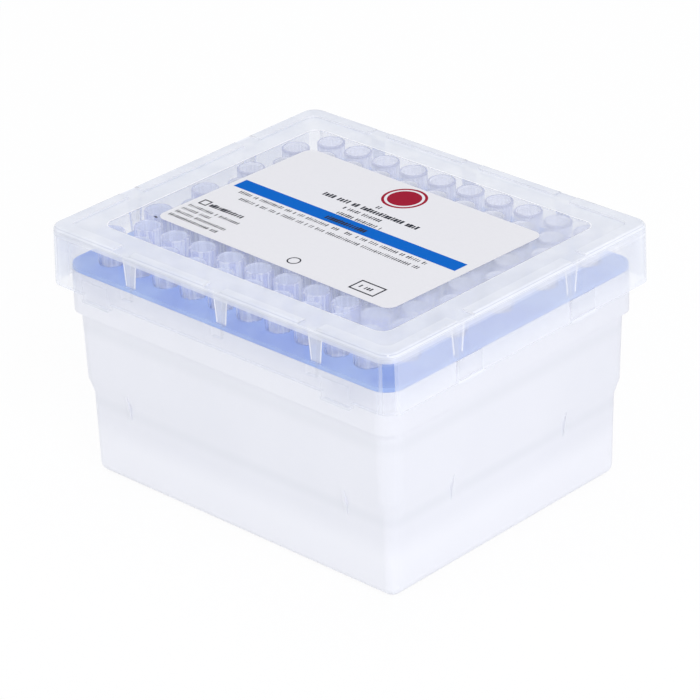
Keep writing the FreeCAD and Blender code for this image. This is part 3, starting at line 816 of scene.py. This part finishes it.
def inkFinish(name, colour):
    finish = Finish(name)
    wear = finish.noise(*label["wear"]) * label["wearShare"]
    faded = [label["fadedBy"] * part + label["paler"] for part in colour]
    return finish.surface({
        "Base Color": finish.blend(wear, (*colour, 1), (*faded, 1)),
        "Roughness": label["inkRoughness"], "Specular IOR Level": 0.0,
    })


# a run of small upright strokes with gaps between words
def wordsTree():
    tree = Tree("printedWords", {"Length": "Float", "Letter": "Float", "Stroke": "Float",
                                 "Pitch": "Float", "Gaps": "Float", "Thickness": "Float",
                                 "Seed": "Int", "Finish": "Material"})
    given = tree.given
    step = tree.node("ShaderNodeCombineXYZ", {}, {0: given["Pitch"]})
    row = tree.node("GeometryNodeMeshLine", {},
                    {"Count": given["Length"] / given["Pitch"], "Offset": step.outputs[0]})
    blank = tree.node("FunctionNodeRandomValue", {"data_type": "BOOLEAN"},
                      {"Probability": given["Gaps"], "Seed": given["Seed"]})
    spots = tree.node("GeometryNodeDeleteGeometry", {"domain": "POINT"},
                      {0: row.outputs[0], "Selection": blank.outputs[3]})
    size = tree.node("ShaderNodeCombineXYZ", {},
                     {0: given["Stroke"], 1: given["Letter"], 2: given["Thickness"]})
    bar = tree.node("GeometryNodeMeshCube", {}, {"Size": size.outputs[0]})
    rise = tree.node("ShaderNodeCombineXYZ", {},
                     {1: given["Letter"] / 2, 2: given["Thickness"] / 2})
    stood = tree.node("GeometryNodeTransform", {},
                      {0: bar.outputs[0], "Translation": rise.outputs[0]})
    least, most = label["strokeSizes"]
    varied = tree.node("FunctionNodeRandomValue", {"data_type": "FLOAT_VECTOR"},
                       {0: least, 1: most, "Seed": given["Seed"] + label["sizeSeed"]})
    copies = tree.node("GeometryNodeInstanceOnPoints", {},
                       {"Points": spots.outputs[0], "Instance": stood.outputs[0],
                        "Scale": varied.outputs[0]})
    return tree.finish(copies.outputs[0])


def addWords(work, tree, lines, height, ink):
    for seed, (left, foot, length, letter, bold) in enumerate(lines):
        wider = 1 - label["spread"] + label["spread"] * bold  # bolder words are set wider
        words = tree.grow("words", {
            "Length": length * mm, "Letter": letter * mm, "Stroke": label["stroke"] * bold,
            "Pitch": label["pitch"] * wider, "Gaps": label["gaps"],
            "Thickness": label["wordHeight"], "Seed": seed, "Finish": ink})
        words.transform(Matrix.Translation((left * mm, foot * mm, height)))
        work.from_mesh(words)
        bpy.data.meshes.remove(words)


def rectangle(left, foot, right, head):
    return (left, foot), (right, foot), (right, head), (left, head)


def frameBars(x, y, width, height, line):
    reachX, reachY, half = width / 2, height / 2, line / 2
    for side in (-1, 1):
        bar = y + side * (height - line) / 2
        yield rectangle(x - reachX, bar - half, x + reachX, bar + half)
        bar = x + side * (width - line) / 2
        yield rectangle(bar - half, y - reachY + line, bar + half, y + reachY - line)


def circle(x, y, radius):
    return [(x + across, y + upward) for across, upward in roundPoints(radius, label["ringSteps"])]


def ringParts(x, y, inner, outer):
    inside, outside = circle(x, y, inner), circle(x, y, outer)
    for step in range(len(inside)):
        turn = (step + 1) % len(inside)
        yield inside[step], outside[step], outside[turn], inside[turn]


# a thin slab of ink, its corners in millimetres
def addSlab(work, corners, foot, ink):
    rings = [[work.verts.new((x * mm, y * mm, height)) for x, y in corners]
             for height in (foot, foot + label["inkHeight"])]
    faces = [work.faces.new(rings[0][::-1]), work.faces.new(rings[1])]
    for step in range(len(corners)):
        turn = (step + 1) % len(corners)
        faces.append(work.faces.new(
            (rings[0][step], rings[0][turn], rings[1][turn], rings[1][step])))
    for face in faces:
        face.material_index = ink


def makePrint():
    low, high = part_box("lid_label")
    panel, paper = low.z, high.z
    middle = (low + high) / 2
    blue, red, dark = range(3)
    shapes = [(blue, rectangle(*label["stripe"])), (red, circle(*label["roundel"], label["disc"]))]
    shapes += [(red, part) for part in ringParts(*label["roundel"], *label["roundelRing"])]
    shapes += [(dark, part) for part in ringParts(*label["ring"], *label["ringRadii"])]
    shapes += [(dark, bar) for box in label["frames"] for bar in frameBars(*box)]
    work = bmesh.new()
    for ink, corners in shapes:
        addSlab(work, corners, paper, ink)
    addSlab(work, label["speck"], panel, dark)
    inks = [inkFinish(name, colour) for name, colour in label["inks"]]
    firstWord = len(work.faces)
    tree = wordsTree()
    addWords(work, tree, label["lines"], paper, inks[dark])
    addWords(work, tree, label["stripeLines"], paper + label["inkHeight"], inks[dark])
    work.faces.ensure_lookup_table()
    for face in work.faces[firstWord:]:
        face.material_index = dark
    work.transform(Matrix.Translation((middle.x, middle.y, 0))
                   @ Matrix.Rotation(label["turn"], 4, "Z"))
    mesh = bpy.data.meshes.new("labelPrint")
    work.to_mesh(mesh)
    work.free()
    for ink in inks:
        mesh.materials.append(ink)
    addPiece("labelPrint", mesh, "lid", "label_paper")


dress("lid_label", paperFinish())
makePrint()
print("label ready")
